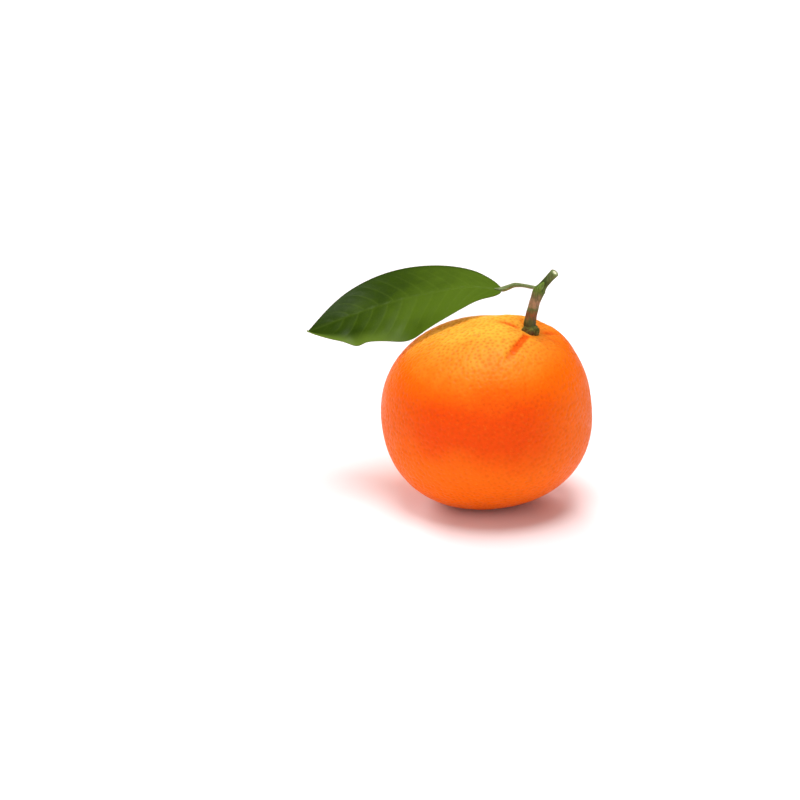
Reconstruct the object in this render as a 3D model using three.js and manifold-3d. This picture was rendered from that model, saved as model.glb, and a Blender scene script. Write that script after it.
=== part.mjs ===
// An orange as picked: the whole fruit, the green button (calyx) on its stem end, a short cut
// piece of twig, and one leaf on its stalk.
// Millimetres, +Z up. The origin is the middle of the small flat spot that the fruit rests on.
// The leaf reaches out along -X, the stem end leans towards +X, and -Y is the front.

import * as THREE from "three";
import { mergeVertices } from "three/addons/utils/BufferGeometryUtils.js";
import Module from "manifold-3d";

const { degToRad, lerp, smoothstep } = THREE.MathUtils;

// ---- Driving dimensions ----

const FRUIT_WIDTH = 75.4;
const FRUIT_HEIGHT = 66.8; // along the short axis, before the resting spot is flattened
const FRUIT_SQUARENESS = 2.3; // power of the fruit's superellipse, where 2 is an ellipse
const SHORT_AXIS_LEAN = degToRad(-7); // from vertical, towards +X
const STEM_END_LEAN = degToRad(26.5); // from vertical
const STEM_END_HEADING = degToRad(80); // the way it leans, 0 towards the front and 90 towards +X
const FLAT_DEPTH = 0.5; // how far the resting spot is pressed in
const DIMPLE_DEPTH = 1.8; // the hollow round the button
const DIMPLE_WIDTH = degToRad(9);
const SHOULDER_HEIGHT = 1.5; // the peel's swelling round that hollow, highest behind the button
const SHOULDER_ANGLE = degToRad(20); // from the stem end to the swelling's crest
const SHOULDER_WIDTH = degToRad(9);
const SHOULDER_HEADING = degToRad(170);
const SCAR_DEPTH = 0.7; // the small pit opposite the stem, where the flower's style was
const SCAR_WIDTH = degToRad(3.5);
const LUMP_HEIGHT = 0.22;

const GAP = 0.3; // between pieces that touch
const BUTTON_RADIUS = 2.4; // between its lobes
const BUTTON_LOBES = 5;
const LOBE_LENGTH = 0.8;
const BUTTON_THICKNESS = 2.8; // in the middle
const LOBE_THICKNESS = 1.1;

const TWIG_RADIUS = 1.95;
const TWIG_TIP_RADIUS = 1.45;
const TWIG_FOOT_FLARE = 0.4; // added to the radius where the twig stands on the button
const BUD_LENGTH = 3;
const BUD_RADIUS = 0.9;
const STALK_RADIUS = 0.7;
const STALK_WING = 0.7; // added to half the stalk's width where it meets the blade

const BLADE_WIDTH = 43;
const BLADE_THICKNESS = 0.5;
const MIDRIB_DEPTH = 0.7; // how far the midrib stands out below the blade

// Creases that run out from the button, with the heading and the reach in degrees.
const CREASES = [
  { heading: 342, depth: 1.0, width: 1.5, reach: 50 },
  { heading: 30, depth: 0.35, width: 2.4, reach: 30 },
  { heading: 74, depth: 0.4, width: 2.2, reach: 26 },
  { heading: 118, depth: 0.6, width: 2.0, reach: 24 },
  { heading: 160, depth: 0.35, width: 2.6, reach: 30 },
  { heading: 205, depth: 0.4, width: 2.4, reach: 28 },
  { heading: 262, depth: 0.7, width: 2.2, reach: 30 },
  { heading: 306, depth: 0.3, width: 2.6, reach: 34 },
];

const PEEL = new THREE.MeshStandardMaterial({ color: 0xf26a12, roughness: 0.42, metalness: 0 });
const BUTTON = new THREE.MeshStandardMaterial({ color: 0x5b6a26, roughness: 0.75, metalness: 0 });
const BARK = new THREE.MeshStandardMaterial({ color: 0x5a6b25, roughness: 0.7, metalness: 0 });
const STALK = new THREE.MeshStandardMaterial({ color: 0x6b7f45, roughness: 0.6, metalness: 0 });
const LEAF = new THREE.MeshStandardMaterial({ color: 0x4d7018, roughness: 0.4, metalness: 0 });

// ---- The fruit's surface ----

const SHORT_AXIS = new THREE.Vector3(Math.sin(SHORT_AXIS_LEAN), 0, Math.cos(SHORT_AXIS_LEAN));
const STEM_END = new THREE.Vector3(
  Math.sin(STEM_END_LEAN) * Math.sin(STEM_END_HEADING),
  -Math.sin(STEM_END_LEAN) * Math.cos(STEM_END_HEADING),
  Math.cos(STEM_END_LEAN),
);
const FRONT = new THREE.Vector3(0, -1, 0).projectOnPlane(STEM_END).normalize();
const SIDE = new THREE.Vector3().crossVectors(STEM_END, FRONT);

// The direction that lies an angle away from the stem end, towards a heading.
function fromStemEnd(angle, heading) {
  return new THREE.Vector3()
    .addScaledVector(STEM_END, Math.cos(angle))
    .addScaledVector(FRONT, Math.sin(angle) * Math.cos(heading))
    .addScaledVector(SIDE, Math.sin(angle) * Math.sin(heading));
}

function bell(distance, width) {
  return Math.exp(-((distance / width) ** 2));
}

// How deep the creases are, each fading in past the button and out at its reach.
function creaseDepth(angle, heading) {
  let depth = 0;
  for (const crease of CREASES) {
    const turned = heading - degToRad(crease.heading);
    const beside = Math.sin(angle) * (FRUIT_WIDTH / 2) * Math.sin(turned);
    if (Math.cos(turned) <= 0) continue;
    const fade = smoothstep(angle, degToRad(4), degToRad(11))
      * (1 - smoothstep(angle, degToRad(crease.reach * 0.45), degToRad(crease.reach)));
    depth += crease.depth * fade * bell(beside, crease.width);
  }
  return depth;
}

// Broad, shallow unevenness, as on any fruit.
function lumps({ x, y, z }) {
  return LUMP_HEIGHT * (
    Math.sin(5.3 * x + 2.1 * z + 0.4)
    + Math.sin(4.7 * y - 3.3 * z + 1.9)
    + Math.sin(6.1 * z + 3.7 * x - 2.6 * y)
  );
}

// From the fruit's centre to its surface, in a direction.
function fruitRadius(direction) {
  const along = Math.abs(direction.dot(SHORT_AXIS));
  const around = Math.sqrt(Math.max(0, 1 - along * along));
  const body = (
    (around / (FRUIT_WIDTH / 2)) ** FRUIT_SQUARENESS
    + (along / (FRUIT_HEIGHT / 2)) ** FRUIT_SQUARENESS
  ) ** (-1 / FRUIT_SQUARENESS);
  const angle = direction.angleTo(STEM_END);
  const heading = Math.atan2(direction.dot(SIDE), direction.dot(FRONT));
  const highest = 0.5 + 0.5 * Math.cos(heading - SHOULDER_HEADING);
  return body
    + lumps(direction)
    + SHOULDER_HEIGHT * highest * bell(angle - SHOULDER_ANGLE, SHOULDER_WIDTH)
    - DIMPLE_DEPTH * bell(angle, DIMPLE_WIDTH)
    - SCAR_DEPTH * bell(Math.PI - angle, SCAR_WIDTH)
    - creaseDepth(angle, heading);
}

// The fruit's centre. Its lowest point goes over the origin, FLAT_DEPTH below the surface, and
// what is below the surface is cut away.
function restingCentre() {
  const lowest = new THREE.Vector3();
  const SPREAD = 0.4;
  const STEP = 0.01;
  for (let x = -SPREAD; x <= SPREAD; x += STEP) {
    for (let y = -SPREAD; y <= SPREAD; y += STEP) {
      const direction = new THREE.Vector3(x, y, -1).normalize();
      const point = direction.clone().multiplyScalar(fruitRadius(direction));
      if (point.z < lowest.z) lowest.copy(point);
    }
  }
  return new THREE.Vector3(-lowest.x, -lowest.y, -lowest.z - FLAT_DEPTH);
}

const CENTRE = restingCentre();

function onFruit(direction, lift = 0) {
  return direction.clone().multiplyScalar(fruitRadius(direction) + lift).add(CENTRE);
}

// A smooth curve through points that are given from the fruit's centre.
function curveThrough(...points) {
  return new THREE.CatmullRomCurve3(points.map((point) => CENTRE.clone().add(point)));
}

// ---- Shared steps ----

// Moves every vertex of a three.js geometry to place(x, y, z), and merges the shared ones.
function reshaped(geometry, place) {
  geometry.deleteAttribute("normal");
  geometry.deleteAttribute("uv");
  const position = geometry.getAttribute("position");
  for (let i = 0; i < position.count; i++) {
    const moved = place(position.getX(i), position.getY(i), position.getZ(i));
    position.setXYZ(i, moved.x, moved.y, moved.z);
  }
  return mergeVertices(geometry, 1e-4);
}

const wasm = await Module();
wasm.setup();

function solidOf(geometry) {
  return new wasm.Manifold(new wasm.Mesh({
    numProp: 3,
    vertProperties: geometry.getAttribute("position").array,
    triVerts: new Uint32Array(geometry.getIndex().array),
  }));
}

function geometryOf(solid) {
  const { vertProperties, triVerts } = solid.getMesh();
  return new THREE.BufferGeometry()
    .setAttribute("position", new THREE.BufferAttribute(vertProperties, 3))
    .setIndex(new THREE.BufferAttribute(triVerts, 1));
}

function piece(name, geometry, material) {
  geometry.computeVertexNormals();
  const mesh = new THREE.Mesh(geometry, material);
  mesh.name = name;
  return mesh;
}

// A cylinder bent along a curve. wall(share, angle) is its radius at a share of the curve's length.
function bentCylinder(curve, sides, steps, wall) {
  const frames = curve.computeFrenetFrames(steps, false);
  return reshaped(new THREE.CylinderGeometry(1, 1, 1, sides, steps), (x, y, z) => {
    const share = y + 0.5;
    const step = Math.round(share * steps);
    const radius = wall(share, Math.atan2(x, z));
    return curve.getPointAt(share)
      .addScaledVector(frames.binormals[step], x * radius)
      .addScaledVector(frames.normals[step], z * radius);
  });
}

// ---- Fruit ----

function makeFruit() {
  const SIDES = 60;
  const RINGS = 36;
  const CROWDING = 1.3; // draws the rings together at the stem end, where the shape is finest
  const globe = reshaped(new THREE.SphereGeometry(1, SIDES, RINGS), (x, y, z) => {
    const share = Math.acos(THREE.MathUtils.clamp(y, -1, 1)) / Math.PI;
    return onFruit(fromStemEnd(Math.PI * share ** CROWDING, Math.atan2(x, z)));
  });
  const slab = new THREE.BoxGeometry(FRUIT_WIDTH, FRUIT_WIDTH, FRUIT_WIDTH);
  const below = reshaped(slab, (x, y, z) => new THREE.Vector3(x, y, z - FRUIT_WIDTH / 2));
  return geometryOf(solidOf(globe).subtract(solidOf(below)));
}

// ---- Button ----

// A lathe's turn measured as a heading round the stem end.
function buttonReach(heading) {
  const lobe = (0.5 + 0.5 * Math.cos(BUTTON_LOBES * heading)) ** 1.6;
  return BUTTON_RADIUS + LOBE_LENGTH * lobe;
}

// The button's height above the fruit at a share of the way out to its edge.
function buttonHeight(share) {
  return lerp(BUTTON_THICKNESS, LOBE_THICKNESS, smoothstep(share, 0.55, 1));
}

function makeButton() {
  const SIDES = 50;
  const underside = [0, 0.3, 0.6, 0.85, 1].map((share) => new THREE.Vector2(share, 0));
  const top = [0.96, 0.85, 0.65, 0.45, 0.25, 0].map((share) => new THREE.Vector2(share, 1));
  const lathe = new THREE.LatheGeometry([...underside, ...top], SIDES);
  return reshaped(lathe, (x, y, z) => {
    const share = Math.hypot(x, z);
    const heading = Math.atan2(x, z);
    const angle = (share * buttonReach(heading)) / (FRUIT_HEIGHT / 2);
    return onFruit(fromStemEnd(angle, heading), GAP + y * buttonHeight(share));
  });
}

// ---- Twig ----

// It runs on down into the button, and makeTwig trims it where it stands.
const TWIG_LINE = curveThrough(
  new THREE.Vector3(15, -2, 29.5),
  new THREE.Vector3(14.5, -2, 33.5),
  new THREE.Vector3(15.5, -2, 39),
  new THREE.Vector3(16.5, -2.5, 43),
  new THREE.Vector3(17.5, -2.5, 45.5),
  new THREE.Vector3(19, -3, 48),
  new THREE.Vector3(22.5, -5.5, 53),
);
const TWIG_SEAT = 0.1; // share of the line's length where the twig stands on the button
const LEAF_NODE = 0.62; // and where it swells under the leaf stalk

function twigWall(share) {
  const foot = TWIG_FOOT_FLARE * bell(share - TWIG_SEAT, 0.1);
  const swelling = 0.15 * bell(share - LEAF_NODE, 0.08);
  const end = 0.15 * smoothstep(share, 0.88, 1);
  return lerp(TWIG_RADIUS, TWIG_TIP_RADIUS, smoothstep(share, 0.6, 0.78)) + foot + swelling + end;
}

function twigSolid(grown = 0) {
  return solidOf(bentCylinder(TWIG_LINE, 14, 28, (share) => twigWall(share) + grown));
}

// A bud in the corner between the twig and the leaf stalk, lying along the twig.
function budSolid() {
  const base = new THREE.Vector3(17, -4, 46.5);
  const tip = new THREE.Vector3(18.5, -5, 49);
  const turn = new THREE.Quaternion().setFromUnitVectors(
    new THREE.Vector3(0, 1, 0),
    tip.clone().sub(base).normalize(),
  );
  const middle = base.add(tip).multiplyScalar(0.5).add(CENTRE);
  return solidOf(reshaped(new THREE.SphereGeometry(1, 14, 10), (x, y, z) => (
    new THREE.Vector3(x * BUD_RADIUS, (y * BUD_LENGTH) / 2, z * BUD_RADIUS)
      .applyQuaternion(turn)
      .add(middle)
  )));
}

function makeTwig() {
  const SIZE = 30;
  const top = fruitRadius(STEM_END) + GAP + BUTTON_THICKNESS + GAP;
  const upright = new THREE.Quaternion().setFromUnitVectors(new THREE.Vector3(0, 0, 1), STEM_END);
  const seat = reshaped(new THREE.BoxGeometry(SIZE, SIZE, SIZE), (x, y, z) => (
    new THREE.Vector3(x, y, z - SIZE / 2 + top).applyQuaternion(upright).add(CENTRE)
  ));
  return geometryOf(twigSolid().add(budSolid()).subtract(solidOf(seat)));
}

// ---- Leaf stalk ----

// It starts inside the twig, and makeStalk trims it to the twig's wall.
const STALK_LINE = curveThrough(
  new THREE.Vector3(17.5, -2.5, 46.5),
  new THREE.Vector3(15.5, 5, 45),
  new THREE.Vector3(12.5, 13, 43.5),
  new THREE.Vector3(10, 17, 42.5),
  new THREE.Vector3(8, 19, 41),
  new THREE.Vector3(6.5, 19.5, 40),
);

// Round where it leaves the twig, and drawn out sideways into two narrow wings at the blade.
function stalkWall(share, angle) {
  const collar = 0.25 * bell(share, 0.16);
  const wing = STALK_WING * smoothstep(share, 0.6, 1) * Math.sin(angle) ** 2;
  return STALK_RADIUS + collar + wing;
}

function makeStalk() {
  const whole = solidOf(bentCylinder(STALK_LINE, 10, 18, stalkWall));
  return geometryOf(whole.subtract(twigSolid(GAP)));
}

// ---- Leaf blade ----

const MIDRIB_LINE = curveThrough(
  new THREE.Vector3(5.5, 19.5, 40),
  new THREE.Vector3(-6, 20, 41),
  new THREE.Vector3(-25, 19, 38),
  new THREE.Vector3(-45, 17.5, 32.5),
  new THREE.Vector3(-65, 15, 25.5),
);

// The blade's own two directions: along runs from 0 at the stalk to 1 at the tip, and across from
// -1 at the back margin through 0 at the midrib to 1 at the front margin.

// From the midrib to a margin. The front half is the fuller one, and the back half is widest
// nearer to the stalk.
function halfWidth(along, across) {
  const NARROWEST = 0.6;
  const swell = across > 0
    ? Math.sin(Math.PI * along) ** 0.68
    : Math.sin(Math.PI * along ** 0.74) ** 1.05;
  return NARROWEST + (BLADE_WIDTH / 2 - NARROWEST) * Math.max(0, swell);
}

// How steeply the blade falls towards the front. Its back half is lifted more near the tip.
function crossSlope(along, across) {
  return across > 0
    ? degToRad(12) + degToRad(10) * smoothstep(along, 0.1, 0.6)
    : degToRad(11) + degToRad(40) * along ** 2.5;
}

// How far the front margin hangs below that slope: a broad sag, a lobe, and a lift at the tip.
function marginDrop(along, across) {
  if (across <= 0) return 0;
  const drop = 2.1 * bell(along - 0.52, 0.1)
    + 1.75 * bell(along - 0.795, 0.045)
    - 1.0 * bell(along - 0.975, 0.076);
  return drop * across ** 2;
}

// The middle of the blade's thickness.
function onBlade(along, across) {
  const middle = MIDRIB_LINE.getPointAt(along);
  const tangent = MIDRIB_LINE.getTangentAt(along);
  const toFront = new THREE.Vector3(0, 0, 1).cross(tangent).normalize();
  const upwards = new THREE.Vector3().crossVectors(tangent, toFront);
  const slope = crossSlope(along, across);
  const out = halfWidth(along, across) * across;
  return middle
    .addScaledVector(toFront, out * Math.cos(slope))
    .addScaledVector(upwards, -out * Math.sin(slope) - marginDrop(along, across));
}

function makeBlade() {
  const LENGTH_STEPS = 44;
  const WIDTH_STEPS = 14;
  const NEAR = 1e-3;
  const box = new THREE.BoxGeometry(1, 1, 1, LENGTH_STEPS, WIDTH_STEPS, 1);
  return reshaped(box, (x, y, z) => {
    const along = x + 0.5;
    const across = 2 * y;
    const lengthwise = onBlade(Math.min(1, along + NEAR), across)
      .sub(onBlade(Math.max(0, along - NEAR), across));
    const sideways = onBlade(along, across + NEAR).sub(onBlade(along, across - NEAR));
    const normal = lengthwise.cross(sideways).normalize();
    const out = halfWidth(along, across) * across;
    const rib = MIDRIB_DEPTH * (1 - 0.8 * along) * bell(out, 1.6);
    const depth = BLADE_THICKNESS / 2 + (z < 0 ? rib : 0);
    return onBlade(along, across).addScaledVector(normal, Math.sign(z) * depth);
  });
}

// ---- The whole orange ----

const orange = new THREE.Group();
orange.add(
  piece("orange_fruit", makeFruit(), PEEL),
  piece("calyx", makeButton(), BUTTON),
  piece("stem", makeTwig(), BARK),
  piece("leaf_stalk", makeStalk(), STALK),
  piece("leaf_blade", makeBlade(), LEAF),
);

export default orange;
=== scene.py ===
"""A whole orange with its calyx, a cut piece of twig, a leaf stalk and a leaf blade, on a pale floor.

Sizes are in millimetres up to the moment a mesh is made. The fruit's shape and the lines of
the twig and the midrib are the same as the solid model's. The stalk's line follows that model's
too, and then runs on into the midrib.
"""

import math

import bmesh
import bpy
import numpy as np
from mathutils import Matrix, Vector


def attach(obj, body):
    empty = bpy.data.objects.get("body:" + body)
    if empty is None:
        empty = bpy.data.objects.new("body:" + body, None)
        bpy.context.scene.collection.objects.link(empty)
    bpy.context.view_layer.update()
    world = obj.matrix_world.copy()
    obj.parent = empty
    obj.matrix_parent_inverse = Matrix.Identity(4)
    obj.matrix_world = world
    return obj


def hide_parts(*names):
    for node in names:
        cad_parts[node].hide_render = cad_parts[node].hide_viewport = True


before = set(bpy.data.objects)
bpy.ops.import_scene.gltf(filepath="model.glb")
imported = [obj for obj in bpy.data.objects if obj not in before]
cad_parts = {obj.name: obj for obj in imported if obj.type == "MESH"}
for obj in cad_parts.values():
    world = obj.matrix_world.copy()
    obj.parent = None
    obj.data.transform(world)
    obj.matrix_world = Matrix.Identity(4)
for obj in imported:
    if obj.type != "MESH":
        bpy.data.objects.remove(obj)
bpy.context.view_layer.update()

MM = 0.001

# ---- Sizes of the fruit ----

FRUIT_WIDTH = 75.4
FRUIT_HEIGHT = 66.8
FRUIT_SQUARENESS = 2.3
SHORT_AXIS_LEAN = math.radians(-7)
STEM_END_LEAN = math.radians(26.5)
STEM_END_HEADING = math.radians(80)
FLAT_DEPTH = 0.5
DIMPLE_DEPTH = 1.8
DIMPLE_WIDTH = math.radians(9)
SHOULDER_HEIGHT = 1.5
SHOULDER_ANGLE = math.radians(20)
SHOULDER_WIDTH = math.radians(9)
SHOULDER_HEADING = math.radians(170)
SCAR_DEPTH = 0.7
SCAR_WIDTH = math.radians(3.5)
LUMP_HEIGHT = 0.22

# Heading and reach in degrees, depth and width in millimetres.
CREASES = (
    (342, 50, 1.0, 1.5),
    (30, 30, 0.35, 2.4),
    (74, 26, 0.4, 2.2),
    (118, 24, 0.6, 2.0),
    (160, 30, 0.35, 2.6),
    (205, 28, 0.4, 2.4),
    (262, 30, 0.7, 2.2),
    (306, 34, 0.3, 2.6),
)

# ---- Sizes of what grows on it ----

CALYX_RADIUS = 2.4
CALYX_LOBES = 5
LOBE_LENGTH = 0.8
CUP_HEIGHT = 3.2
TWIG_RADIUS = 1.95
TWIG_TIP_RADIUS = 1.45
STALK_RADIUS = 0.7
STALK_WING = 0.7
BLADE_WIDTH = 43
BLADE_THICKNESS = 0.34
BLADE_NARROWEST = 0.6

# Points of the three lines, from the fruit's centre.
FROM_CENTRE_TWIG = (
    (15, -2, 29.5), (14.5, -2, 33.5), (15.5, -2, 39), (16.5, -2.5, 43), (17.5, -2.5, 45.5),
    (19, -3, 48), (22.5, -5.5, 53),
)
FROM_CENTRE_STALK = (
    (17.5, -2.5, 46.5), (15.5, 5, 45), (12.5, 13, 43.5), (10, 17, 42.5), (8, 19, 41.2),
    (6, 19.5, 40.4), (3, 19.6, 40.5),
)
FROM_CENTRE_MIDRIB = (
    (5.5, 19.5, 40), (-6, 20, 41), (-25, 19, 38), (-45, 17.5, 32.5), (-65, 15, 25.5),
)


# ---- Small mathematics ----

def unit(vectors):
    return vectors / np.linalg.norm(vectors, axis=-1, keepdims=True)


def bell(distance, width):
    return np.exp(-((distance / width) ** 2))


def ease(value, low, high):
    share = np.clip((value - low) / (high - low), 0, 1)
    return share * share * (3 - 2 * share)


def leaning(lean, heading):
    """The direction that leans from vertical towards a heading, 0 at the front and 90 at +X."""
    across = math.sin(lean)
    return np.array([
        across * math.sin(heading), -across * math.cos(heading), math.cos(lean),
    ])


def linear(red, green, blue):
    """A colour as eyes and screens count it, 0 to 255, turned into the light it reflects."""
    return tuple(
        (value / 255 / 12.92) if value <= 10 else ((value / 255 + 0.055) / 1.055) ** 2.4
        for value in (red, green, blue)
    )


# ---- The fruit's surface ----

SHORT_AXIS = leaning(SHORT_AXIS_LEAN, math.radians(90))
STEM_END = leaning(STEM_END_LEAN, STEM_END_HEADING)
FORWARDS = np.array([0.0, -1.0, 0.0])
FRONT = unit(FORWARDS - (FORWARDS @ STEM_END) * STEM_END)
SIDE = np.cross(STEM_END, FRONT)


def from_stem_end(angle, heading):
    angle, heading = np.asarray(angle)[..., None], np.asarray(heading)[..., None]
    outwards = np.cos(heading) * FRONT + np.sin(heading) * SIDE
    return np.cos(angle) * STEM_END + np.sin(angle) * outwards


def stem_angles(direction):
    """How far each direction is from the stem end, and its heading round it."""
    angle = np.arccos(np.clip(direction @ STEM_END, -1, 1))
    return angle, np.arctan2(direction @ SIDE, direction @ FRONT)


def crease_depth(angle, heading):
    depth = np.zeros_like(angle)
    for way, reach, deepest, width in CREASES:
        turned = heading - math.radians(way)
        beside = np.sin(angle) * FRUIT_WIDTH / 2 * np.sin(turned)
        fade = ease(angle, math.radians(4), math.radians(11))
        fade = fade * (1 - ease(angle, math.radians(reach * 0.45), math.radians(reach)))
        depth += np.where(np.cos(turned) > 0, deepest * fade * bell(beside, width), 0)
    return depth


def fruit_radius(direction):
    along = np.abs(direction @ SHORT_AXIS)
    around = np.sqrt(np.maximum(0, 1 - along * along))
    body = (
        (around / (FRUIT_WIDTH / 2)) ** FRUIT_SQUARENESS
        + (along / (FRUIT_HEIGHT / 2)) ** FRUIT_SQUARENESS
    ) ** (-1 / FRUIT_SQUARENESS)
    angle, heading = stem_angles(direction)
    highest = 0.5 + 0.5 * np.cos(heading - SHOULDER_HEADING)
    x, y, z = np.moveaxis(direction, -1, 0)
    lumps = LUMP_HEIGHT * (
        np.sin(5.3 * x + 2.1 * z + 0.4)
        + np.sin(4.7 * y - 3.3 * z + 1.9)
        + np.sin(6.1 * z + 3.7 * x - 2.6 * y)
    )
    return (
        body + lumps
        + SHOULDER_HEIGHT * highest * bell(angle - SHOULDER_ANGLE, SHOULDER_WIDTH)
        - DIMPLE_DEPTH * bell(angle, DIMPLE_WIDTH)
        - SCAR_DEPTH * bell(math.pi - angle, SCAR_WIDTH)
        - crease_depth(angle, heading)
    )


def resting_centre():
    """The fruit's centre, with its lowest point over the origin and pressed a little flat."""
    spread = np.arange(-0.4, 0.4, 0.01)
    x, y = np.meshgrid(spread, spread, indexing="ij")
    direction = unit(np.stack([x, y, -np.ones_like(x)], axis=-1).reshape(-1, 3))
    points = direction * fruit_radius(direction)[:, None]
    lowest = points[points[:, 2].argmin()]
    return np.array([-lowest[0], -lowest[1], -lowest[2] - FLAT_DEPTH])


CENTRE = resting_centre()


def on_fruit(direction, lift=0.0):
    reach = fruit_radius(direction) + lift
    return CENTRE + direction * np.asarray(reach)[..., None]


# ---- Lines ----

class Line:
    """A smooth curve through points given from the fruit's centre, read by share of its length."""

    FINENESS = 60  # samples between two points

    def __init__(self, points):
        points = np.array(points) + CENTRE
        first, last = 2 * points[0] - points[1], 2 * points[-1] - points[-2]
        padded = np.vstack([first, points, last])
        samples = [points[:1]]
        for i in range(1, len(points)):
            samples.append(self.stretch(*padded[i - 1:i + 3]))
        self.samples = np.vstack(samples)
        steps = np.linalg.norm(np.diff(self.samples, axis=0), axis=1)
        self.length = steps.sum()
        self.shares = np.concatenate([[0], np.cumsum(steps)]) / self.length

    def stretch(self, before, start, end, after):
        """The curve from start to end, in the centripetal form that has no overshoot."""
        knots = [math.dist(a, b) ** 0.5 for a, b in ((before, start), (start, end), (end, after))]
        leave = (start - before) / knots[0] - (end - before) / (knots[0] + knots[1])
        leave = (leave + (end - start) / knots[1]) * knots[1]
        arrive = (end - start) / knots[1] - (after - start) / (knots[1] + knots[2])
        arrive = (arrive + (after - end) / knots[2]) * knots[1]
        t = np.linspace(0, 1, self.FINENESS + 1)[1:, None]
        return (
            start + leave * t + (3 * (end - start) - 2 * leave - arrive) * t ** 2
            + (2 * (start - end) + leave + arrive) * t ** 3
        )

    def at(self, share):
        return np.stack([np.interp(share, self.shares, axis) for axis in self.samples.T], axis=-1)

    def heading(self, share):
        near = 0.004
        ahead, behind = np.clip(share + near, 0, 1), np.clip(share - near, 0, 1)
        return unit(self.at(ahead) - self.at(behind))


def tube(line, shares, sides, reach, first_side):
    """Rings round a line. reach(share, turn) is the radius, with turn measured from first_side."""
    turn = np.linspace(0, 2 * math.pi, sides, endpoint=False)
    side = np.array(first_side, float)
    rings = []
    for share in shares:
        ahead = line.heading(share)
        side = unit(side - (side @ ahead) * ahead)
        other = np.cross(ahead, side)
        radius = (reach(share, turn) * np.ones_like(turn))[:, None]
        spokes = np.cos(turn)[:, None] * side + np.sin(turn)[:, None] * other
        rings.append(line.at(share) + spokes * radius)
    return np.array(rings)


def end_disc(line, rim, profile):
    """Rings that close a tube's end. Each profile step is a share of the radius and a rise."""
    middle, ahead = line.at(1.0), line.heading(1.0)
    return np.array([middle + (rim - middle) * share + ahead * rise for share, rise in profile])


# ---- Making pieces ----

def ring_faces(count, sides):
    """Quads between rings that follow each other, with both ends closed."""
    here = np.arange(count - 1)[:, None] * sides + np.arange(sides)
    beside = np.arange(count - 1)[:, None] * sides + (np.arange(sides) + 1) % sides
    quads = np.stack([here, beside, beside + sides, here + sides], axis=-1).reshape(-1, 4)
    last = (count - 1) * sides
    return quads.tolist() + [list(range(sides))[::-1], list(range(last, last + sides))]


def new_piece(name, vertices, faces, *materials):
    mesh = bpy.data.meshes.new(name)
    mesh.from_pydata((np.asarray(vertices) * MM).tolist(), [], faces)
    build = bmesh.new()
    build.from_mesh(mesh)
    bmesh.ops.recalc_face_normals(build, faces=build.faces)
    build.to_mesh(mesh)
    build.free()
    mesh.shade_smooth()
    for finish in materials:
        mesh.materials.append(finish)
    piece = bpy.data.objects.new(name, mesh)
    bpy.context.scene.collection.objects.link(piece)
    return piece


def paint(piece, name, values):
    """Keeps one number for each vertex, which the piece's material or tree reads by name."""
    layer = piece.data.attributes.new(name, "FLOAT", "POINT")
    layer.data.foreach_set("value", np.ascontiguousarray(values, dtype=np.float32))


def joint_into_root(piece, slot, *nodes):
    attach(piece, "root")
    if nodes:
        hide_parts(*nodes)


# ---- Wiring nodes ----

def wire(tree, kind, inputs=None, **settings):
    """Adds a node. An input is either a number or the socket that feeds it."""
    made = tree.nodes.new(kind)
    for name, value in settings.items():
        setattr(made, name, value)
    for name, value in (inputs or {}).items():
        if isinstance(value, bpy.types.NodeSocket):
            tree.links.new(value, made.inputs[name])
        else:
            made.inputs[name].default_value = value
    return made


def calc(tree, operation, *values):
    inputs = dict(enumerate(values))
    return wire(tree, "ShaderNodeMath", inputs, operation=operation).outputs[0]


def spread(tree, value, low, high, to_low=0.0, to_high=1.0):
    """Turns low to high into to_low to to_high, evened out at both ends."""
    inputs = {
        "Value": value, "From Min": low, "From Max": high, "To Min": to_low, "To Max": to_high,
    }
    made = wire(tree, "ShaderNodeMapRange", inputs, interpolation_type="SMOOTHSTEP")
    return made.outputs["Result"]


def blend_colours(tree, share, first, second):
    made = wire(tree, "ShaderNodeMix", data_type="RGBA")
    for index, value in ((0, share), (6, first), (7, second)):
        if isinstance(value, bpy.types.NodeSocket):
            tree.links.new(value, made.inputs[index])
        elif index == 0:
            made.inputs[index].default_value = value
        else:
            made.inputs[index].default_value = (*value, 1)
    return made.outputs[2]


def painted(tree, name):
    return wire(tree, "ShaderNodeAttribute", attribute_name=name).outputs["Fac"]


def millimetres(tree, stretch=(1, 1, 1)):
    """The place on the piece in millimetres, squeezed along an axis where stretch is under 1."""
    place = wire(tree, "ShaderNodeTexCoord").outputs["Object"]
    scale = tuple(value / MM for value in stretch)
    inputs = {"Vector": place, "Scale": scale}
    return wire(tree, "ShaderNodeMapping", inputs).outputs["Vector"]


def noise(tree, place, size, detail=2.0, roughness=0.5):
    """Cloudy noise, with size the width of one cloud in millimetres."""
    inputs = {"Vector": place, "Scale": 1 / size, "Detail": detail, "Roughness": roughness}
    return wire(tree, "ShaderNodeTexNoise", inputs).outputs["Fac"]


def bump(tree, height, depth, under=None):
    """Raises the look of the surface by height times depth, in millimetres."""
    inputs = {"Height": height, "Distance": depth * MM}
    if under is not None:
        inputs["Normal"] = under
    return wire(tree, "ShaderNodeBump", inputs).outputs["Normal"]


def new_material(name, same_all_over):
    """A material and its shader, with the values that don't vary set straight on the shader."""
    made = bpy.data.materials.new(name)
    made.use_nodes = True
    shader = made.node_tree.nodes["Principled BSDF"]
    for socket, value in same_all_over.items():
        shader.inputs[socket].default_value = value
    return made, made.node_tree, shader


def finish_with(tree, shader, colour, roughness, normal):
    tree.links.new(colour, shader.inputs["Base Color"])
    tree.links.new(roughness, shader.inputs["Roughness"])
    tree.links.new(normal, shader.inputs["Normal"])


# ---- Materials ----

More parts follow.
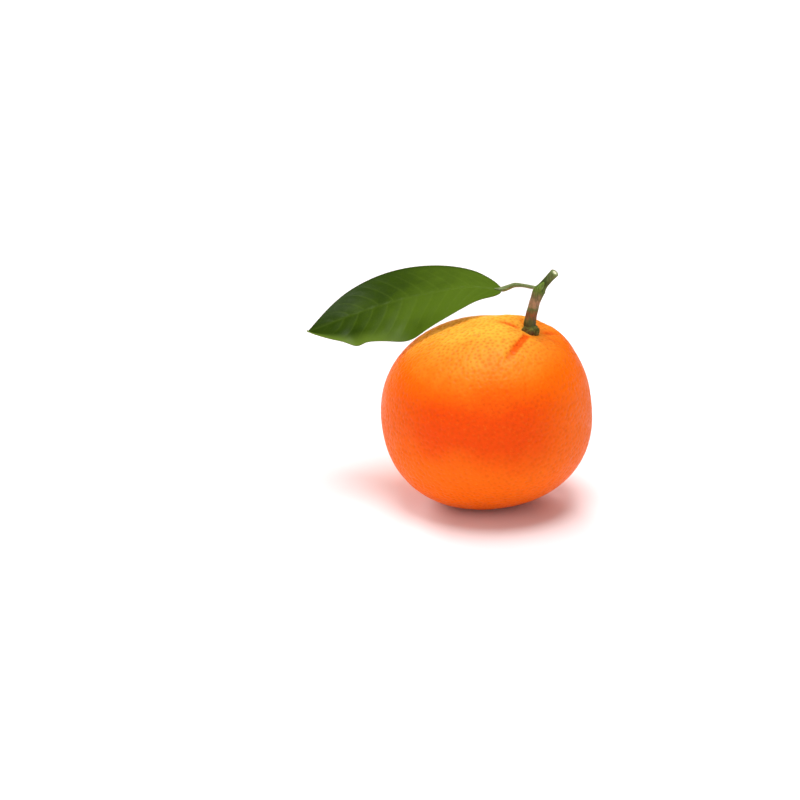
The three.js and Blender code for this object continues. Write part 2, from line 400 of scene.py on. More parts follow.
def peel_finish():
    """Waxy orange peel: yellow round the top, partly a painted highlight; redder at middle height; creases
    painted redder as shade.
    """
    ORANGE = linear(250, 108, 6)
    # Yellow for the top, where it also stands for a painted highlight, and for the small flecks.
    YELLOW_AND_HIGHLIGHT = linear(246, 186, 62)
    # Red-orange for the band at middle height, and as painted shade in the creases.
    RED_ORANGE = linear(240, 76, 1)
    # Darker orange for the gland pits, partly their own colour and partly painted shade.
    DEEP = linear(190, 78, 2)
    SCAR = linear(92, 58, 24)
    made, tree, shader = new_material("peel", {
        "Subsurface Weight": 0.06, "Subsurface Radius": (1.0, 0.3, 0.08),
        "Subsurface Scale": 1.2 * MM, "Specular IOR Level": 0.08,
    })
    place = millimetres(tree)
    sides = wire(tree, "ShaderNodeSeparateXYZ", {"Vector": place}).outputs
    height, beside = sides["Z"], calc(tree, "ABSOLUTE", sides["X"])
    clouds = noise(tree, place, 26, 3)
    patches = noise(tree, place, 7, 4)
    flecks = noise(tree, place, 1.1, 2)

    swayed = calc(tree, "ADD", height, calc(tree, "MULTIPLY", clouds, 16))
    swayed = calc(tree, "ADD", swayed, calc(tree, "MULTIPLY", patches, 5))
    # Redder in a band round middle height, less so towards the left and right sides.
    off_middle = calc(tree, "ABSOLUTE", calc(tree, "SUBTRACT", swayed, 49))
    redder_band = calc(tree, "MULTIPLY", spread(tree, off_middle, 18, 4), spread(tree, beside, 38, 14))
    colour = blend_colours(tree, redder_band, ORANGE, RED_ORANGE)
    # Yellower round the top and towards the left: partly the peel's own colour, partly a painted
    # highlight.
    yellow_top_and_highlight = calc(
        tree, "MULTIPLY", spread(tree, swayed, 62, 81), spread(tree, sides["X"], 40, 4),
    )
    colour = blend_colours(tree, yellow_top_and_highlight, colour, YELLOW_AND_HIGHLIGHT)
    # The creases are painted redder, as shade in the grooves.
    crease_shade = spread(tree, painted(tree, "crease"), 0.1, 0.8, 0, 0.85)
    colour = blend_colours(tree, crease_shade, colour, RED_ORANGE)
    # Darker gland pits: partly their own colour, partly painted shade, stronger under the painted
    # highlight.
    pit_shade_strength = spread(tree, yellow_top_and_highlight, 0, 0.6, 0.22, 0.6)
    gland_and_pit_shade = calc(tree, "MULTIPLY", painted(tree, "gland_and_pit_shade"), pit_shade_strength)
    colour = blend_colours(tree, gland_and_pit_shade, colour, DEEP)
    colour = blend_colours(tree, spread(tree, flecks, 0.55, 0.8, 0, 0.07), colour, YELLOW_AND_HIGHLIGHT)
    colour = blend_colours(tree, painted(tree, "scar"), colour, SCAR)

    dull = spread(tree, patches, 0.3, 0.7, 0.34, 0.46)
    cells = wire(
        tree, "ShaderNodeTexVoronoi", {"Vector": place, "Scale": 1 / 0.95, "Smoothness": 0.6},
        feature="SMOOTH_F1",
    ).outputs["Distance"]
    normal = bump(tree, cells, 0.16)
    normal = bump(tree, noise(tree, place, 2.4, 2), 0.25, normal)
    normal = bump(tree, flecks, 0.05, normal)
    finish_with(tree, shader, colour, dull, normal)
    return made


def bark_finish():
    """Young citrus bark: painted shade at its foot, olive and brown by turns up to the leaf node, and
    green above it.
    """
    BANDS = (
        # The first band, nearly black, is painted shade where the twig goes into the calyx.
        (0.1, linear(66, 60, 22)), (0.2, linear(92, 92, 36)), (0.29, linear(146, 84, 44)),
        (0.37, linear(98, 110, 52)), (0.47, linear(170, 130, 98)), (0.57, linear(122, 108, 62)),
        (0.65, linear(92, 116, 30)), (0.8, linear(62, 82, 20)), (1.0, linear(104, 120, 64)),
        (1.2, linear(116, 152, 24)),
    )
    LAST = BANDS[-1][0]
    DARK = linear(44, 46, 16)
    made, tree, shader = new_material("bark", {"Specular IOR Level": 0.3})
    place = millimetres(tree)
    grain = millimetres(tree, (1, 1, 0.22))
    patches = noise(tree, place, 1.6, 3)
    streaks = noise(tree, grain, 0.45, 3, 0.6)
    sway = calc(tree, "MULTIPLY", calc(tree, "SUBTRACT", patches, 0.5), 0.22)
    up_twig = calc(tree, "DIVIDE", calc(tree, "ADD", painted(tree, "share"), sway), LAST)
    bands = wire(tree, "ShaderNodeValToRGB", {"Fac": up_twig})
    ramp = bands.color_ramp.elements
    for i, (share, colour) in enumerate(BANDS):
        stop = ramp[i] if i < 2 else ramp.new(share / LAST)
        stop.position, stop.color = share / LAST, (*colour, 1)
    shaded = spread(tree, streaks, 0.6, 0.34, 0, 0.5)
    colour = blend_colours(tree, shaded, bands.outputs["Color"], DARK)
    normal = bump(tree, streaks, 0.16)
    normal = bump(tree, patches, 0.14, normal)
    dull = spread(tree, streaks, 0.3, 0.7, 0.5, 0.75)
    finish_with(tree, shader, colour, dull, normal)
    return made


def cut_wood_finish():
    """The twig's cut: pale pith and wood in the middle, in a wide ring of green inner bark."""
    PALE = linear(246, 244, 214)
    RING = linear(206, 204, 140)
    INNER_BARK = linear(136, 146, 96)
    made, tree, shader = new_material("cut_wood", {"Specular IOR Level": 0.2})
    out = painted(tree, "out")
    ringed = calc(tree, "SINE", calc(tree, "MULTIPLY", out, 50))
    grain = noise(tree, millimetres(tree), 0.25, 3)
    share = calc(tree, "ADD", calc(tree, "MULTIPLY", ringed, 0.15), grain)
    colour = blend_colours(tree, spread(tree, share, 0.3, 0.9), PALE, RING)
    uneven = calc(tree, "ADD", out, calc(tree, "MULTIPLY", grain, 0.16))
    colour = blend_colours(tree, spread(tree, uneven, 0.52, 0.66), colour, INNER_BARK)
    dull = spread(tree, grain, 0.2, 0.8, 0.6, 0.8)
    finish_with(tree, shader, colour, dull, bump(tree, grain, 0.05))
    return made


def calyx_finish():
    """The calyx: olive green, browned at the lobes' tips and in its wrinkles."""
    OLIVE = linear(112, 112, 44)
    GREEN = linear(66, 76, 24)
    BROWN = linear(88, 50, 18)
    made, tree, shader = new_material("calyx", {"Specular IOR Level": 0.3})
    place = millimetres(tree)
    patches = noise(tree, place, 1.3, 3)
    fine = noise(tree, place, 0.35, 3)
    colour = blend_colours(tree, spread(tree, patches, 0.35, 0.65), OLIVE, GREEN)
    edge = calc(tree, "ADD", painted(tree, "out"), calc(tree, "MULTIPLY", patches, 0.5))
    colour = blend_colours(tree, spread(tree, edge, 1.0, 1.35), colour, BROWN)
    dull = spread(tree, fine, 0.3, 0.7, 0.6, 0.82)
    finish_with(tree, shader, colour, dull, bump(tree, fine, 0.12))
    return made


def stalk_finish():
    """The leaf stalk: grey-green, streaked with a darker green."""
    GREY_GREEN = linear(128, 138, 92)
    GREEN = linear(88, 106, 42)
    made, tree, shader = new_material("leaf_stalk", {"Specular IOR Level": 0.45})
    grain = noise(tree, millimetres(tree, (0.3, 1, 1)), 0.5, 3)
    colour = blend_colours(tree, spread(tree, grain, 0.35, 0.65), GREEN, GREY_GREEN)
    dull = spread(tree, grain, 0.3, 0.7, 0.42, 0.6)
    finish_with(tree, shader, colour, dull, bump(tree, grain, 0.08))
    return made


def leaf_finish(name, tip, base, vein, rough, sunk):
    """One face of the blade: darker towards the tip, painted shade over the back half and margin, paler
    along its veins, a painted highlight on the front margin.
    """
    made, tree, shader = new_material(name, {
        "Specular IOR Level": 0.05, "Subsurface Weight": 0.02,
        "Subsurface Radius": (0.6, 1.0, 0.2), "Subsurface Scale": 0.5 * MM,
    })
    place = millimetres(tree)
    clouds = noise(tree, place, 15, 2)
    patches = noise(tree, place, 3.5, 3)
    # Painted shade over the back half, where the blade curves away from the light; the rest of the
    # darkening runs towards the tip.
    back_half_shade = spread(tree, painted(tree, "across"), 0.5, -1.0, 0, 0.3)
    darker_to_tip_and_back = calc(tree, "ADD", painted(tree, "along"), back_half_shade)
    darker_to_tip_and_back = calc(tree, "ADD", darker_to_tip_and_back, calc(tree, "MULTIPLY", clouds, 0.5))
    darker_to_tip_and_back = calc(tree, "ADD", darker_to_tip_and_back, calc(tree, "MULTIPLY", patches, 0.2))
    colour = blend_colours(tree, spread(tree, darker_to_tip_and_back, 0.6, 1.35), base, tip)
    # The painted shade deepens along the back margin.
    back_margin_shade = spread(tree, painted(tree, "across"), -0.82, -1.0, 0, 0.55)
    colour = blend_colours(tree, back_margin_shade, colour, tip)
    # A painted highlight along the front margin, towards the tip.
    front_margin_highlight = calc(
        tree, "MULTIPLY", spread(tree, painted(tree, "across"), 0.55, 1.0),
        spread(tree, painted(tree, "along"), 0.45, 0.8, 0, 0.7),
    )
    colour = blend_colours(tree, front_margin_highlight, colour, vein)
    colour = blend_colours(tree, calc(tree, "MULTIPLY", painted(tree, "vein"), 0.12), colour, vein)
    dots = wire(
        tree, "ShaderNodeTexVoronoi", {"Vector": place, "Scale": 1 / 0.7},
    ).outputs["Distance"]
    colour = blend_colours(tree, spread(tree, dots, 0.3, 0.05, 0, 0.15), colour, vein)
    normal = bump(tree, patches, sunk)
    normal = bump(tree, noise(tree, place, 0.5, 2), 0.03, normal)
    dull = spread(tree, patches, 0.3, 0.7, rough, rough + 0.12)
    finish_with(tree, shader, colour, dull, normal)
    return made


def floor_finish():
    made, tree, shader = new_material("pale_floor", {"Specular IOR Level": 0.0})
    speckle = noise(tree, millimetres(tree), 30, 2)
    white = blend_colours(tree, speckle, (0.88, 0.81, 0.82), (0.9, 0.83, 0.84))
    finish_with(tree, shader, white, spread(tree, speckle, 0, 1, 0.9, 1.0), bump(tree, speckle, 0.01))
    return made


# ---- Geometry trees ----

def new_tree(name, *sizes):
    """A geometry tree with named inputs: (name, kind) for each one after the geometry."""
    tree = bpy.data.node_groups.new(name, "GeometryNodeTree")
    tree.is_modifier = True
    tree.interface.new_socket("Geometry", in_out="INPUT", socket_type="NodeSocketGeometry")
    for label, kind in sizes:
        tree.interface.new_socket(label, in_out="INPUT", socket_type=kind)
    tree.interface.new_socket("Geometry", in_out="OUTPUT", socket_type="NodeSocketGeometry")
    return tree, wire(tree, "NodeGroupInput").outputs


def in_finish(tree, geometry, finish):
    """Turns copies into real faces and gives them their material."""
    plain = wire(tree, "GeometryNodeRealizeInstances", {"Geometry": geometry}).outputs[0]
    inputs = {"Geometry": plain, "Material": finish}
    return wire(tree, "GeometryNodeSetMaterial", inputs).outputs[0]


def end_tree(tree, geometry):
    smooth = wire(tree, "GeometryNodeSetShadeSmooth", {"Geometry": geometry}).outputs[0]
    wire(tree, "NodeGroupOutput", {"Geometry": smooth})


def grow(piece, tree, **sizes):
    """Runs a tree on a piece and keeps the result as the piece's plain mesh."""
    worked = piece.modifiers.new(tree.name, "NODES")
    worked.node_group = tree
    for item in tree.interface.items_tree:
        label = item.name.lower().replace(" ", "_")
        if item.in_out == "INPUT" and label in sizes:
            worked[item.identifier] = sizes[label]
    depsgraph = bpy.context.evaluated_depsgraph_get()
    result = bpy.data.meshes.new_from_object(
        piece.evaluated_get(depsgraph), preserve_all_data_layers=True, depsgraph=depsgraph,
    )
    piece.modifiers.remove(worked)
    result.name = piece.name
    piece.data = result


def gland_tree():
    """Scatters oil glands over the peel and sinks a round pit at each one."""
    tree, given = new_tree(
        "oil_glands", ("Spacing", "NodeSocketFloat"), ("Pit Radius", "NodeSocketFloat"),
        ("Pit Depth", "NodeSocketFloat"), ("Seed", "NodeSocketInt"),
        ("Finish", "NodeSocketMaterial"),
    )
    crowd = calc(tree, "DIVIDE", 3.0, calc(tree, "MULTIPLY", given["Spacing"], given["Spacing"]))
    glands = wire(tree, "GeometryNodeDistributePointsOnFaces", {
        "Mesh": given["Geometry"], "Distance Min": given["Spacing"], "Density Max": crowd,
        "Seed": given["Seed"],
    }, distribute_method="POISSON").outputs["Points"]
    size = wire(tree, "FunctionNodeRandomValue", {2: 0.65, 3: 1.3, "Seed": given["Seed"]})
    nearest = wire(tree, "GeometryNodeSampleNearest", {"Geometry": glands}).outputs["Index"]
    own_size = wire(tree, "GeometryNodeSampleIndex", {
        "Geometry": glands, "Value": size.outputs[1], "Index": nearest,
    }, data_type="FLOAT").outputs["Value"]
    away = wire(
        tree, "GeometryNodeProximity", {0: glands}, target_element="POINTS",
    ).outputs["Distance"]
    reach = calc(tree, "MULTIPLY", given["Pit Radius"], own_size)
    apart = calc(tree, "DIVIDE", away, reach)
    hollow = calc(tree, "EXPONENT", calc(tree, "MULTIPLY", calc(tree, "MULTIPLY", apart, apart), -1.0))
    sunk = calc(tree, "MULTIPLY", calc(tree, "MULTIPLY", hollow, own_size), given["Pit Depth"])
    inwards = wire(tree, "ShaderNodeVectorMath", {
        0: wire(tree, "GeometryNodeInputNormal").outputs[0],
        "Scale": calc(tree, "MULTIPLY", sunk, -1.0),
    }, operation="SCALE").outputs[0]
    # Keeps each pit's hollow, for the peel's darker glands and the shade painted in the pits.
    kept = wire(tree, "GeometryNodeStoreNamedAttribute", {
        "Geometry": given["Geometry"], "Name": "gland_and_pit_shade", "Value": hollow,
    }, data_type="FLOAT", domain="POINT").outputs[0]
    pitted = wire(tree, "GeometryNodeSetPosition", {"Geometry": kept, "Offset": inwards}).outputs[0]
    end_tree(tree, in_finish(tree, pitted, given["Finish"]))
    return tree


def vein_tree():
    """Presses pairs of side veins into the blade, each leaving the midrib towards the tip."""
    tree, given = new_tree(
        "side_veins", ("Pairs", "NodeSocketFloat"), ("Slant", "NodeSocketFloat"),
        ("Width", "NodeSocketFloat"), ("Depth", "NodeSocketFloat"), ("Puff", "NodeSocketFloat"),
        ("Top", "NodeSocketMaterial"), ("Back", "NodeSocketMaterial"),
    )

    def read(name):
        return wire(
            tree, "GeometryNodeInputNamedAttribute", {"Name": name}, data_type="FLOAT",
        ).outputs["Attribute"]

    SWEEP = 1.35  # how much a vein bends towards the tip on its way out
    OTHER_SIDE = 0.43  # how far the back half's veins are out of step with the front half's
    along, across, facing = read("along"), read("across"), read("facing")
    out = calc(tree, "ABSOLUTE", across)
    swept = calc(tree, "MULTIPLY", calc(tree, "POWER", out, SWEEP), given["Slant"])
    start = calc(tree, "SUBTRACT", along, swept)
    other_side = calc(tree, "MULTIPLY", calc(tree, "LESS_THAN", across, 0.0), OTHER_SIDE)
    count = calc(tree, "ADD", calc(tree, "MULTIPLY", start, given["Pairs"]), other_side)
    apart = calc(tree, "ABSOLUTE", calc(tree, "SUBTRACT", calc(tree, "FRACT", count), 0.5))
    thin = calc(tree, "MULTIPLY", given["Width"], spread(tree, out, 0.2, 1.0, 1.0, 0.45))
    ratio = calc(tree, "DIVIDE", apart, thin)
    ridge = calc(tree, "EXPONENT", calc(tree, "MULTIPLY", calc(tree, "MULTIPLY", ratio, ratio), -1.0))
    fading = calc(tree, "MULTIPLY", spread(tree, out, 0.97, 0.7), spread(tree, along, 0.02, 0.1))
    fading = calc(tree, "MULTIPLY", fading, spread(tree, along, 0.97, 0.78))
    vein = calc(tree, "MULTIPLY", ridge, fading)
    puffed = calc(tree, "MULTIPLY", calc(tree, "COSINE", calc(tree, "MULTIPLY", apart, 2 * math.pi)), -1.0)
    puffed = calc(tree, "MULTIPLY", calc(tree, "MULTIPLY", puffed, fading), given["Puff"])
    pressed = calc(tree, "MULTIPLY", vein, given["Depth"])
    rise = calc(tree, "MULTIPLY", calc(tree, "SUBTRACT", puffed, pressed), facing)
    offset = wire(tree, "ShaderNodeVectorMath", {
        0: wire(tree, "GeometryNodeInputNormal").outputs[0], "Scale": rise,
    }, operation="SCALE").outputs[0]
    both = calc(tree, "MAXIMUM", vein, read("midrib"))
    kept = wire(tree, "GeometryNodeStoreNamedAttribute", {
        "Geometry": given["Geometry"], "Name": "vein", "Value": both,
    }, data_type="FLOAT", domain="POINT").outputs[0]
    veined = wire(tree, "GeometryNodeSetPosition", {"Geometry": kept, "Offset": offset}).outputs[0]
    veined = in_finish(tree, veined, given["Top"])
    below = wire(
        tree, "FunctionNodeCompare", {0: facing, 1: 0.0}, data_type="FLOAT", operation="LESS_THAN",
    ).outputs["Result"]
    both_faces = wire(tree, "GeometryNodeSetMaterial", {
        "Geometry": veined, "Selection": below, "Material": given["Back"],
    }).outputs[0]
    end_tree(tree, both_faces)
    return tree


def lenticel_tree():
    """Scatters small corky warts over the twig's bark."""
    tree, given = new_tree(
        "lenticels", ("Spacing", "NodeSocketFloat"), ("Size", "NodeSocketFloat"),
        ("Seed", "NodeSocketInt"), ("Finish", "NodeSocketMaterial"),
    )
    crowd = calc(tree, "DIVIDE", 1.5, calc(tree, "MULTIPLY", given["Spacing"], given["Spacing"]))
    share = wire(
        tree, "GeometryNodeInputNamedAttribute", {"Name": "share"}, data_type="FLOAT",
    ).outputs["Attribute"]
    below_cut = wire(
        tree, "FunctionNodeCompare", {0: share, 1: 0.97}, data_type="FLOAT", operation="LESS_THAN",
    ).outputs["Result"]
    points = wire(tree, "GeometryNodeDistributePointsOnFaces", {
        "Mesh": given["Geometry"], "Selection": below_cut, "Distance Min": given["Spacing"],
        "Density Max": crowd, "Seed": given["Seed"],
    }, distribute_method="POISSON")
    wart = wire(tree, "GeometryNodeMeshIcoSphere", {"Radius": given["Size"], "Subdivisions": 1})
    flat = wire(tree, "GeometryNodeTransform", {
        "Geometry": wart.outputs["Mesh"], "Scale": (0.7, 1.3, 0.45),
    }).outputs[0]
    various = wire(tree, "FunctionNodeRandomValue", {2: 0.5, 3: 1.2, "Seed": given["Seed"]})
    warts = wire(tree, "GeometryNodeInstanceOnPoints", {
        "Points": points.outputs["Points"], "Instance": flat,
        "Rotation": points.outputs["Rotation"], "Scale": various.outputs[1],
    }).outputs[0]
    joined = wire(tree, "GeometryNodeJoinGeometry")
    tree.links.new(given["Geometry"], joined.inputs[0])
    tree.links.new(in_finish(tree, warts, given["Finish"]), joined.inputs[0])
    end_tree(tree, joined.outputs[0])
    return tree


# ---- The pieces ----

def ball_of_quads(steps):
    """Directions and quads of a cube blown up into an even ball."""
    spreads = np.tan(np.linspace(-1, 1, steps + 1) * math.pi / 4)
    u, v = np.meshgrid(spreads, spreads, indexing="ij")
    corner = (np.arange(steps)[:, None] * (steps + 1) + np.arange(steps)).reshape(-1)
    quad = np.stack([corner, corner + steps + 1, corner + steps + 2, corner + 1], axis=-1)
    points, quads = [], []
    for axis in range(3):
        for sign in (1, -1):
            side = np.zeros((u.size, 3))
            side[:, axis] = sign
            side[:, (axis + 1) % 3] = u.reshape(-1)
            side[:, (axis + 2) % 3] = v.reshape(-1)
            quads.append((quad if sign > 0 else quad[:, ::-1]) + u.size * len(points))
            points.append(unit(side))
    directions, shared = np.unique(np.vstack(points).round(7), axis=0, return_inverse=True)
    return unit(directions), shared.reshape(-1)[np.vstack(quads)]


def make_fruit(finish):
    STEPS = 126
    directions, quads = ball_of_quads(STEPS)
    angle, heading = stem_angles(directions)
    points = on_fruit(directions)
    points[:, 2] = np.maximum(points[:, 2], 0)
    fruit = new_piece("orange_peel", points, quads.tolist(), finish)
    paint(fruit, "crease", crease_depth(angle, heading))
    paint(fruit, "scar", bell(math.pi - angle, math.radians(2.6)))
    grow(fruit, gland_tree(), spacing=1.5 * MM, pit_radius=0.55 * MM, pit_depth=0.26 * MM,
         seed=11, finish=finish)
    joint_into_root(fruit, "peel", "orange_fruit")


def make_calyx(finish):
    """A thick knobbly cup that holds the twig, with five short lobes that lie on the peel."""
    SIDES = 140
    UNDER = 14
    OVER = 30
    LET_IN = 0.25  # how deep its underside lies in the peel
    heading = np.linspace(0, 2 * math.pi, SIDES, endpoint=False)
    lobe = (0.5 + 0.5 * np.cos(CALYX_LOBES * heading + 0.5)) ** 1.3
    uphill = -np.sin(heading)
    uneven = 1 + 0.05 * np.sin(heading * 2 + 0.7) + 0.03 * np.sin(heading * 7) + 0.16 * uphill
    reach = (CALYX_RADIUS + LOBE_LENGTH * lobe) * uneven
    rings, outs = [], []
    for out in np.linspace(0.02, 1, UNDER):
        rings.append(on_fruit(from_stem_end(out * reach / (FRUIT_HEIGHT / 2), heading), -LET_IN))
        outs.append(out)
    for out in np.sin(np.linspace(1, 0.01, OVER) * math.pi / 2):
        dome = math.sqrt(max(0, 1 - out ** 4))
        knobs = 0.3 * bell(out - 0.8, 0.14) * (lobe - 0.4)
        wrinkle = 0.07 * np.sin(heading * 19 + 3 * np.sin(heading * 3)) * bell(out - 0.8, 0.25)
        height = CUP_HEIGHT * (1 + 0.16 * uphill * out) - 1.1 * ease(out, 0.6, 0.95)
        lift = dome * (height + LET_IN) - LET_IN + knobs + wrinkle
        rings.append(on_fruit(from_stem_end(out * reach / (FRUIT_HEIGHT / 2), heading), lift))
        outs.append(out)
    rings = np.array(rings)
    calyx = new_piece("calyx_cup", rings.reshape(-1, 3), ring_faces(len(rings), SIDES), finish)
    paint(calyx, "out", np.repeat(outs, SIDES))
    joint_into_root(calyx, "calyx", "calyx")


def make_twig(bark, wood):
    """The twig with its lengthwise ridges, its swollen leaf node and its clean cut."""
    SIDES = 64
    STEPS = 220
    SEAT = 0.06
    SWELLING = 0.62
    LEAF_NODE = 0.66
    line = Line(FROM_CENTRE_TWIG)

    def wall(share, turn):
        foot = 0.3 * bell(share - 0.12, 0.09)
        swelling = 0.15 * bell(share - SWELLING, 0.08)
        collar = 0.14 * bell(share - LEAF_NODE, 0.012)
        end = 0.1 * ease(share, 0.88, 1)
        ridges = 0.05 * np.sin(5 * turn + 3 * share) + 0.035 * np.sin(9 * turn - 5 * share + 1)
        ridges = ridges + 0.05 * np.sin(17 * share + 2 * turn) + 0.03 * np.sin(41 * share - turn)
        slim = TWIG_RADIUS + (TWIG_TIP_RADIUS - TWIG_RADIUS) * ease(share, 0.6, 0.78)
        return slim + foot + swelling + collar + end + ridges * (1 - 0.5 * ease(share, 0.6, 0.8))

    shares = np.linspace(SEAT, 1, STEPS)
    rings = tube(line, shares, SIDES, wall, FORWARDS)
    cut = end_disc(line, rings[-1], (
        (0.985, 0.07), (0.95, 0.13), (0.9, 0.15), (0.86, 0.14), (0.83, 0.08), (0.8, 0.07),
        (0.77, 0.12), (0.7, 0.15), (0.58, 0.17), (0.46, 0.18), (0.34, 0.19), (0.22, 0.19),
        (0.16, 0.17), (0.12, 0.1), (0.06, 0.07), (0.02, 0.06),
    ))
    rings = np.concatenate([rings, cut])
    twig = new_piece("twig", rings.reshape(-1, 3), ring_faces(len(rings), SIDES), bark, wood)
    BARK_RING = 4  # rings of the cut's rounded edge that are still bark
    first_wood = STEPS + BARK_RING
    index = np.zeros(len(twig.data.polygons), np.int32)
    ring_of_quad = np.arange((len(rings) - 1) * SIDES) // SIDES
    index[:len(ring_of_quad)][ring_of_quad >= first_wood - 1] = 1
    index[-1] = 1
    twig.data.polygons.foreach_set("material_index", index)
    spots = np.concatenate([shares, np.ones(len(cut))])
    paint(twig, "share", np.repeat(spots, SIDES))
    middle = line.at(1.0)
    paint(twig, "out", np.linalg.norm(rings.reshape(-1, 3) - middle, axis=1) / TWIG_TIP_RADIUS)
    grow(twig, lenticel_tree(), spacing=1.3 * MM, size=0.16 * MM, seed=5, finish=bark)
    twig.data.set_sharp_from_angle(angle=math.radians(50))
    joint_into_root(twig, "bark", "stem")


def make_bud(finish):
    """A bud in the corner between the twig and the leaf stalk, with two overlapping scales."""
    SIDES = 32
    base, tip = np.array((17, -4, 46)), np.array((19, -5, 49.5))
    line = Line((base, base * 0.5 + tip * 0.5, tip))
    shares = np.linspace(0, 1, 40)

    def wall(share, turn):
        egg = 0.92 * math.sin(math.pi * (0.03 + 0.95 * share) ** 0.8) ** 0.75
        scale_edge = 0.06 * ease(math.sin(9 * share) + 0.5 * np.cos(turn * 2), 0.1, 0.5)
        return egg + scale_edge * egg

    rings = tube(line, shares, SIDES, wall, FORWARDS)
    bud = new_piece("twig_bud", rings.reshape(-1, 3), ring_faces(len(rings), SIDES), finish)
    paint(bud, "share", np.full(rings.size // 3, 1.1))
    joint_into_root(bud, "bark")


def make_stalk(finish):
    """The leaf stalk: a collar at the twig, two narrow wings, and an end inside the midrib."""
    SIDES = 40
    line = Line(FROM_CENTRE_STALK)

    def wall(share, turn):
        collar = 0.35 * bell(share - 0.05, 0.05)
        wing = STALK_WING * ease(share, 0.5, 0.9) * np.cos(turn) ** 2
        groove = -0.12 * ease(share, 0.2, 0.4) * bell(turn - math.pi * 1.5, 0.35)
        into_blade = 1 - 0.72 * ease(share, 0.88, 1)
        return (STALK_RADIUS + collar + wing + groove) * into_blade

    rings = tube(line, np.linspace(0, 1, 140), SIDES, wall, FORWARDS)
    stalk = new_piece("leaf_stalk_skin", rings.reshape(-1, 3), ring_faces(len(rings), SIDES), finish)
    joint_into_root(stalk, "leaf_stalk", "leaf_stalk")


def half_width(along, across):
    narrowest = 1.1 * (1 - ease(along, 0.0, 0.1)) + 0.1
    swell = np.where(
        across > 0,
        np.sin(math.pi * along) ** 0.68,
        np.sin(math.pi * along ** 0.74).clip(0, 1) ** 1.05,
    )
    return narrowest + (BLADE_WIDTH / 2 - BLADE_NARROWEST) * swell


def on_blade(line, along, across):
    """The middle of the blade's thickness, from -1 at the back margin to 1 at the front one."""
    middle, ahead = line.at(along), line.heading(along)
    to_front = unit(np.cross((0, 0, 1), ahead))
    upwards = np.cross(ahead, to_front)
    slope = np.where(
        across > 0,
        math.radians(12) + math.radians(10) * ease(along, 0.1, 0.6),
        math.radians(11) + math.radians(40) * along ** 2.5,
    )
    drop = 2.1 * bell(along - 0.52, 0.1) + 1.75 * bell(along - 0.795, 0.045)
    drop = (drop - 1.0 * bell(along - 0.975, 0.076)) * np.where(across > 0, across ** 2, 0)
    out = half_width(along, across) * across
    return (
        middle + to_front * (out * np.cos(slope))[..., None]
        - upwards * (out * np.sin(slope) + drop)[..., None]
    )


def make_blade(top, back):
    """The blade: a thin shell with a grooved midrib, raised below, and side veins in pairs."""
    LENGTH_STEPS = 280
    WIDTH_STEPS = 110
    line = Line(FROM_CENTRE_MIDRIB)
    along = np.linspace(0, 1, LENGTH_STEPS + 1)
    across = np.sin(np.linspace(-1, 1, WIDTH_STEPS + 1) * math.pi / 2)
    along, across = np.meshgrid(along, across, indexing="ij")
    near = 1e-3
    lengthwise = on_blade(line, np.clip(along + near, 0, 1), across) - on_blade(
        line, np.clip(along - near, 0, 1), across)
    sideways = on_blade(line, along, across + near) - on_blade(line, along, across - near)
    normal = unit(np.cross(lengthwise, sideways))
    out = np.abs(half_width(along, across) * across)
    slim = (1 - 0.8 * along) * (1 - ease(along, 0.93, 1))
    edge = 1 - 0.75 * ease(np.abs(across), 0.985, 1)
    half = BLADE_THICKNESS / 2 * edge
    groove = 0.22 * slim * bell(out, 0.55)
    keel = 0.75 * slim * bell(out, 0.8)
    middle = on_blade(line, along, across)
    upper = middle + normal * (half - groove)[..., None]
    lower = middle - normal * (half + keel)[..., None]
    rings = np.concatenate([upper, lower[:, ::-1]], axis=1)
    sides = rings.shape[1]
    blade = new_piece("leaf_blade_skin", rings.reshape(-1, 3), ring_faces(len(rings), sides))
    facing = np.concatenate([np.ones_like(along), -np.ones_like(along)], axis=1)
    turned = np.concatenate([across, across[:, ::-1]], axis=1)
    doubled = np.concatenate([out, out[:, ::-1]], axis=1)
    forward = np.concatenate([along, along], axis=1)
    paint(blade, "along", forward.reshape(-1))
    paint(blade, "across", turned.reshape(-1))
    paint(blade, "facing", facing.reshape(-1))
    paint(blade, "midrib", bell(doubled, 0.7).reshape(-1))
    grow(blade, vein_tree(), pairs=13.0, slant=0.16, width=0.07, depth=0.04 * MM, puff=0.04 * MM,
         top=top, back=back)
    joint_into_root(blade, "leaf", "leaf_blade")


# ---- Stage ----

def make_floor():
    HALF = 4000
    corners = [(-HALF, -HALF, 0), (HALF, -HALF, 0), (HALF, HALF, 0), (-HALF, HALF, 0)]
    floor = new_piece("pale_floor", corners, [(0, 1, 2, 3)], floor_finish())


def soft_lamp(name, towards, strength, breadth):
    """A far, broad light that stands towards a direction and is breadth degrees across."""
    lamp = bpy.data.lights.new(name, "SUN")
    lamp.energy = strength
    lamp.angle = math.radians(breadth)
    stand = bpy.data.objects.new(name, lamp)
    stand.rotation_euler = Vector(towards).to_track_quat("Z", "Y").to_euler()
    bpy.context.scene.collection.objects.link(stand)
    return stand


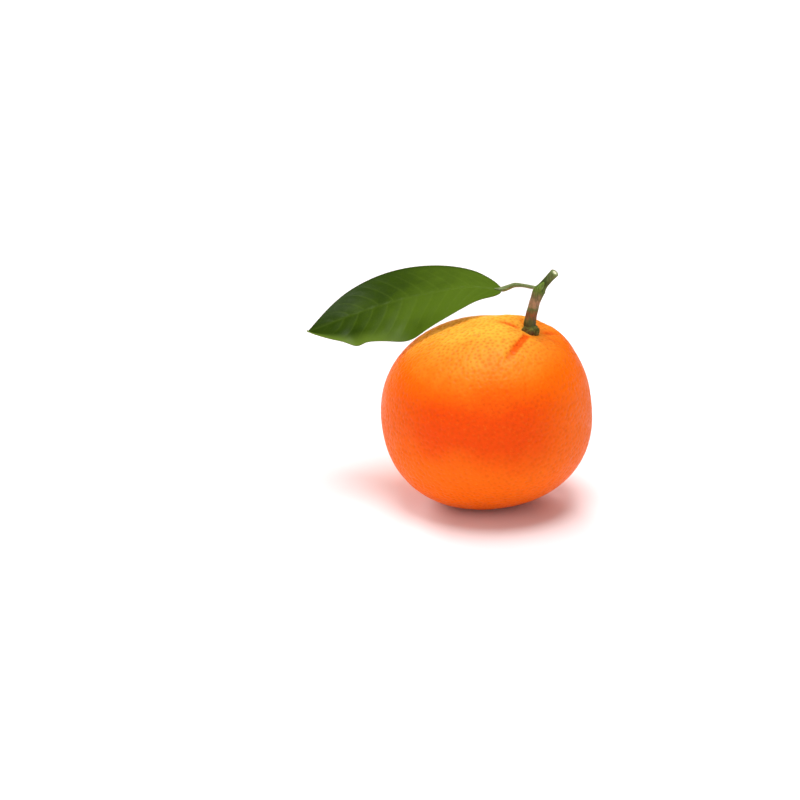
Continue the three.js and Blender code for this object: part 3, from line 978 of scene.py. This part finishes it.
def make_lights():
    """Soft light from above and low behind, in a room with a white wall in front and to the left."""
    world = bpy.data.worlds.new("studio")
    world.use_nodes = True
    tree = world.node_tree
    way = wire(tree, "ShaderNodeTexCoord").outputs["Generated"]
    FRONT_LEFT = (-0.2, -0.98, 0)
    towards_wall = wire(
        tree, "ShaderNodeVectorMath", {0: way, 1: FRONT_LEFT}, operation="DOT_PRODUCT",
    ).outputs["Value"]
    room = tree.nodes["Background"]
    tree.links.new(spread(tree, towards_wall, -0.3, 1, 0.12, 0.9), room.inputs["Strength"])
    room.inputs["Color"].default_value = (1, 1, 1, 1)
    bpy.context.scene.world = world
    soft_lamp("overhead", (0, 0.03, 1), 2.9, 38)
    low = soft_lamp("low_behind", (-0.3, 0.93, 0.2), 4.2, 24)
    low.visible_glossy = False  # it fills the shade under the leaf, without a shine of its own


def make_camera():
    """The camera looks along +Y and down, from in front and a little to the left."""
    ELEVATION = math.radians(18.5)
    DISTANCE = 681.1
    ASIDE = -31.4
    ABOVE = 4.15
    right = Vector((1, 0, 0))
    up = Vector((0, math.sin(ELEVATION), math.cos(ELEVATION)))
    back = Vector((0, -math.cos(ELEVATION), math.sin(ELEVATION)))
    lens = bpy.data.cameras.new("camera")
    lens.lens = 85
    lens.sensor_width = 36
    lens.clip_start = 0.01
    lens.clip_end = 20
    camera = bpy.data.objects.new("camera", lens)
    place = Matrix((right, up, back)).transposed().to_4x4()
    place.translation = MM * (Vector(CENTRE) + right * ASIDE + up * ABOVE + back * DISTANCE)
    camera.matrix_world = place
    bpy.context.scene.collection.objects.link(camera)
    bpy.context.scene.camera = camera


make_camera()
make_lights()
make_floor()
peel, bark, cut_wood = peel_finish(), bark_finish(), cut_wood_finish()
leaf_top = leaf_finish(
    "leaf_top", linear(38, 58, 1), linear(78, 102, 20), linear(108, 132, 46), 0.3, 0.08)
leaf_back = leaf_finish(
    "leaf_back", linear(92, 114, 52), linear(116, 138, 72), linear(146, 162, 100), 0.5, 0.1)
make_fruit(peel)
make_calyx(calyx_finish())
make_twig(bark, cut_wood)
make_bud(bark)
make_stalk(stalk_finish())
make_blade(leaf_top, leaf_back)
bpy.context.scene.view_settings.view_transform = "Standard"
